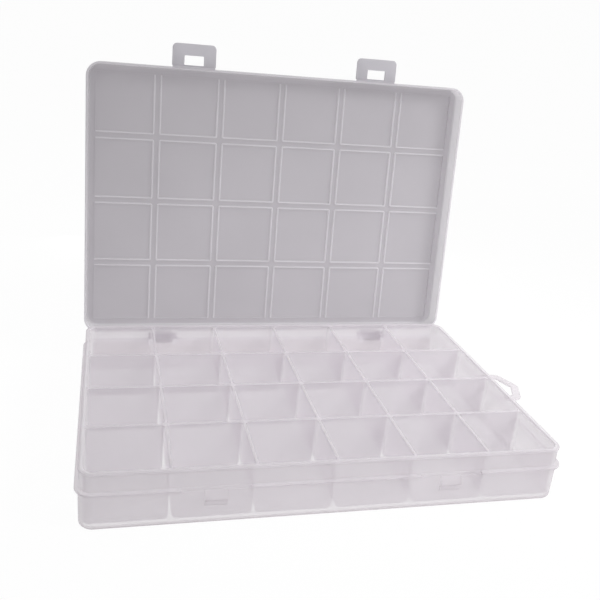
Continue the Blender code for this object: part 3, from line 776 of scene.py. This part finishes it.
def make_film(side, middle, half, material):
    """The film hinge: a thin strip from the skirt's edge to the tab, thinnest where it bends."""
    steps = 14
    rings = []
    start = SEAT
    reach = FILM_END + SEAT
    for i in range(steps + 1):
        y = -start + (reach + start) * i / steps
        waist = 1 - 0.35 * math.exp(-((y - FILM_END / 2) / (FILM_END / 3)) ** 2)
        low_z = SKIRT_RIM_Z + FILM_THICKNESS * 0.05
        high_z = low_z + FILM_THICKNESS * waist
        end_x = half - FILM_THICKNESS / 2
        rings.append([
            (middle - end_x, -LEDGE_HALF_Y - y, low_z), (middle + end_x, -LEDGE_HALF_Y - y, low_z),
            (middle + end_x, -LEDGE_HALF_Y - y, high_z), (middle - end_x, -LEDGE_HALF_Y - y, high_z),
        ])
    film = open_up(lofted(f"film_hinge_{side}", rings))
    finish_surface(film, material)
    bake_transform(film)


def make_floor():
    """A pale table that turns up behind into a plain backdrop."""
    near = 1.2
    half_width = 1.8
    far = 0.72
    bend = 0.5
    height = 1.44
    profile = [(-near, 0), (far, 0)] + arc((far, bend), bend, 270, 360, 16) + [(far + bend, height)]
    floor = bmesh.new()
    rows = [[floor.verts.new((x, y, z)) for x in (-half_width, half_width)] for y, z in profile]
    for lower, upper in zip(rows, rows[1:]):
        floor.faces.new((lower[0], lower[1], upper[1], upper[0]))
    sweep = bpy.data.meshes.new("studio_floor")
    floor.to_mesh(sweep)
    floor.free()
    item = bpy.data.objects.new("studio_floor", sweep)
    bpy.context.collection.objects.link(item)
    sweep.shade_smooth()
    material = bpy.data.materials.new("white_paper_sweep")
    material.use_nodes = True
    tree = material.node_tree
    tree.nodes.clear()
    paper = add_node(tree, "ShaderNodeBsdfDiffuse", inputs={"Color": hex_colour(PAPER)})
    bright = add_node(tree, "ShaderNodeEmission", inputs={"Color": hex_colour(WHITE), "Strength": 1.0})
    ray = add_node(tree, "ShaderNodeLightPath")
    seen = add_node(tree, "ShaderNodeMath", {"operation": "MAXIMUM"}, links={
        0: ray.outputs["Is Camera Ray"], 1: ray.outputs["Is Transmission Ray"]})
    white_share = 0.96
    share = add_node(tree, "ShaderNodeMath", {"operation": "MULTIPLY"}, {1: white_share}, {0: seen.outputs[0]})
    mixed = add_node(tree, "ShaderNodeMixShader", links={
        0: share.outputs[0], 1: paper.outputs[0], 2: bright.outputs[0]})
    add_node(tree, "ShaderNodeOutputMaterial", links={"Surface": mixed.outputs[0]})
    sweep.materials.append(material)


def add_spot(name, place, aim, cone, power, softness):
    lamp = bpy.data.lights.new(name, "SPOT")
    lamp.spot_size = math.radians(cone)
    lamp.spot_blend = 1.0
    lamp.shadow_soft_size = softness
    lamp.energy = power
    item = bpy.data.objects.new(name, lamp)
    item.location = place
    item.rotation_euler = (Vector(aim) - Vector(place)).to_track_quat("-Z", "Y").to_euler()
    bpy.context.collection.objects.link(item)


def add_lamp(name, place, aim, size, power):
    lamp = bpy.data.lights.new(name, "AREA")
    lamp.shape = "RECTANGLE"
    lamp.size, lamp.size_y = size
    lamp.energy = power
    item = bpy.data.objects.new(name, lamp)
    item.location = place
    item.rotation_euler = (Vector(aim) - Vector(place)).to_track_quat("-Z", "Y").to_euler()
    bpy.context.collection.objects.link(item)


def light_studio():
    """A white dome that is brightest overhead, soft spots from the front and right, and a low panel behind."""
    world = bpy.data.worlds.new("white_dome")
    bpy.context.scene.world = world
    world.use_nodes = True
    tree = world.node_tree
    sky = tree.nodes["Background"]
    sky.inputs["Color"].default_value = hex_colour(WHITE)
    toward = add_node(tree, "ShaderNodeTexCoord").outputs["Generated"]
    height = add_node(tree, "ShaderNodeSeparateXYZ", links={0: toward}).outputs[2]
    level = add_node(tree, "ShaderNodeMapRange", inputs={"To Min": 0.0, "To Max": 1.03}, links={
        "Value": height})
    seen = add_node(tree, "ShaderNodeLightPath").outputs["Is Camera Ray"]
    shown = add_node(tree, "ShaderNodeMath", {"operation": "MAXIMUM"}, links={0: level.outputs[0], 1: seen})
    tree.links.new(shown.outputs[0], sky.inputs["Strength"])
    add_spot("front_right_spot", (0.45, -0.25, 0.45), (0.09, 0.06, 0.03), 50, 13.0, 0.12)
    add_spot("rear_right_spot", (0.40, 0.50, 0.30), (0.09, 0.09, 0.03), 50, 2.6, 0.12)
    add_lamp("low_rear_panel", (0.03, 0.30, 0.02), (0.02, 0.09, 0.03), (0.30, 0.04), 0.16)
    add_spot("low_front_spot", (0.02, -0.70, 0.16), (0.0, 0.06, 0.02), 27, 2.5, 0.06)


def add_camera():
    """The photograph's camera: its place, the way it looks, its roll and its lens."""
    place = Vector((-0.089158, -0.310942, 0.185410))
    yaw, pitch, roll = 0.26646, 0.31419, 0.09741
    lens = 46.195
    ahead = Vector((math.sin(yaw) * math.cos(pitch), math.cos(yaw) * math.cos(pitch), -math.sin(pitch)))
    right = Vector((math.cos(yaw), -math.sin(yaw), 0))
    up = right.cross(ahead)
    rolled_right = right * math.cos(roll) + up * math.sin(roll)
    rolled_up = up * math.cos(roll) - right * math.sin(roll)
    turn = Matrix((rolled_right, rolled_up, -ahead)).transposed()
    data = bpy.data.cameras.new("camera")
    data.lens = lens
    data.sensor_width = 36
    data.shift_x = -0.00531
    data.shift_y = -0.05683
    data.clip_start = 0.01
    item = bpy.data.objects.new("camera", data)
    item.matrix_world = Matrix.Translation(place) @ turn.to_4x4()
    bpy.context.collection.objects.link(item)
    bpy.context.scene.camera = item


bpy.context.scene.view_settings.view_transform = "Standard"
tray_plastic = moulded_polypropylene(
    "tray_natural_polypropylene_moulded", pale="F1EEF1", deep="EBE8EB", dense_and_shade_colour="BAADB4",
    glow=0.55, clear=0.60, roughness=0.45)
# Painted shade: the lid is the tray's natural polypropylene given a darker, greyer palette, standing for the lid
# receiving less light than the tray
shaded_lid_plastic = moulded_polypropylene(
    "lid_polypropylene_painted_shade", pale="DFDDE0", deep="D7D5D8", dense_and_shade_colour="BEBABF",
    glow=0.60, clear=0.43, roughness=0.45)
tab_plastic = moulded_polypropylene(
    "tab_natural_polypropylene_moulded", pale="DCDADF", deep="D2D0D5", dense_and_shade_colour="C8C7CD",
    glow=0.50, clear=0.25, roughness=0.45)
film_plastic = moulded_polypropylene(
    "film_thin_polypropylene_bent", pale="E8E6EA", deep="DEDBE0", dense_and_shade_colour="C8C7CD",
    glow=0.55, clear=0.35, roughness=0.40)
make_tray(tray_plastic)
make_lid(shaded_lid_plastic)
for side in SIDES:
    tab_middle, tab_half = make_tab(side, tab_plastic)
    make_film(side, tab_middle, tab_half, film_plastic)
make_floor()
light_studio()
add_camera()
